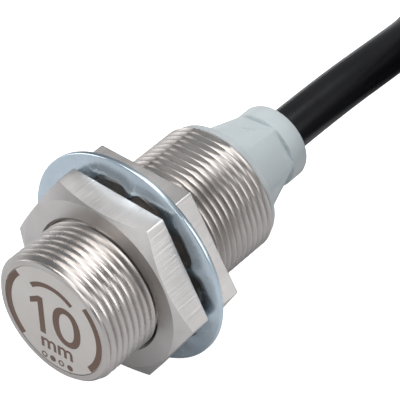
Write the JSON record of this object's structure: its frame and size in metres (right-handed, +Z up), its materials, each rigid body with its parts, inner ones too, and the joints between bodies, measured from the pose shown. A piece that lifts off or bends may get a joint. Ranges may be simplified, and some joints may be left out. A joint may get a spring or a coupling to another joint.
{
  "type": "proximity sensor",
  "caption": "Threaded barrel proximity sensor with hexagon nuts, a toothed lock washer, a faceted cable clamp and a moulded cable that ends in bare leads.",
  "frame": {"origin": "centre of the sensing face", "axes": "-Y is the way the face looks, +Y runs along the barrel to the cable, +Z is up, with the face's figures upright"},
  "size_m": [0.0896, 0.1285, 0.0292],
  "materials": {
    "stainless_thread": "turned, satin",
    "blasted_steel": "fine matt, laser marked",
    "stainless_nut": "brushed flats",
    "zinc_plate": "bright bluish zinc",
    "frosted_clamp": "frosted, translucent",
    "seal_rubber": "matt",
    "cup_plastic": "moulded",
    "ferrite": "sintered",
    "bobbin_plastic": "moulded",
    "enamelled_copper": "enamelled wire",
    "board_laminate": "solder mask",
    "chip_black": "moulded",
    "chip_ceramic": "fired ceramic",
    "indicator_lens": "clear tinted",
    "tin": "bright",
    "brown_insulation": "smooth",
    "blue_insulation": "smooth",
    "black_insulation": "smooth",
    "resin": "cast",
    "cable_jacket": "satin black",
    "tie_nylon": "moulded"
  },
  "bodies": {
    "sensor": {"threaded_case": "stainless_thread", "sensing_face": "blasted_steel", "cable_clamp": "frosted_clamp", "clamp_seal": "seal_rubber", "crimp_ring": "stainless_nut", "coil_cup": "cup_plastic", "ferrite_core": "ferrite", "coil_bobbin": "bobbin_plastic", "coil_winding": "enamelled_copper", "coil_leads": "enamelled_copper", "circuit_board": "board_laminate", "sensor_chip": "chip_black", "output_transistor": "chip_black", "protection_diode": "chip_black", "chip_capacitors": "chip_ceramic", "chip_resistors": "chip_black", "indicator_lights": "indicator_lens", "solder_joints": "tin", "brown_wire": "brown_insulation", "blue_wire": "blue_insulation", "black_wire": "black_insulation", "casting_resin": "resin", "cable_entry": "cable_jacket", "cable_run": "cable_jacket", "cable_coil": "cable_jacket", "coil_ties": "tie_nylon", "cable_tail": "cable_jacket", "brown_lead": "brown_insulation", "blue_lead": "blue_insulation", "black_lead": "black_insulation", "tinned_ends": "tin"},
    "washer": {"toothed_washer": "zinc_plate"},
    "front_nut": {"front_nut": "stainless_nut"},
    "rear_nut": {"rear_nut": "stainless_nut"}
  },
  "joints": [
    {"name": "washer_travel", "type": "slide", "parent": "sensor", "child": "washer", "axis": [0, 1, 0], "range_m": [-0.0073, 0]},
    {"name": "front_nut_turn", "type": "hinge", "parent": "washer", "child": "front_nut", "pos_m": [0, 0.00994, 0], "axis": [0, 1, 0], "range_deg": [-2628, 0]},
    {"name": "rear_nut_travel", "type": "slide", "parent": "sensor", "child": "rear_nut", "axis": [0, 1, 0], "range_m": [0, 0.0125]}
  ],
  "couplings": [
    {"joint": "washer_travel", "follows": "front_nut_turn", "m_per_rad": 0.00015915}
  ]
}
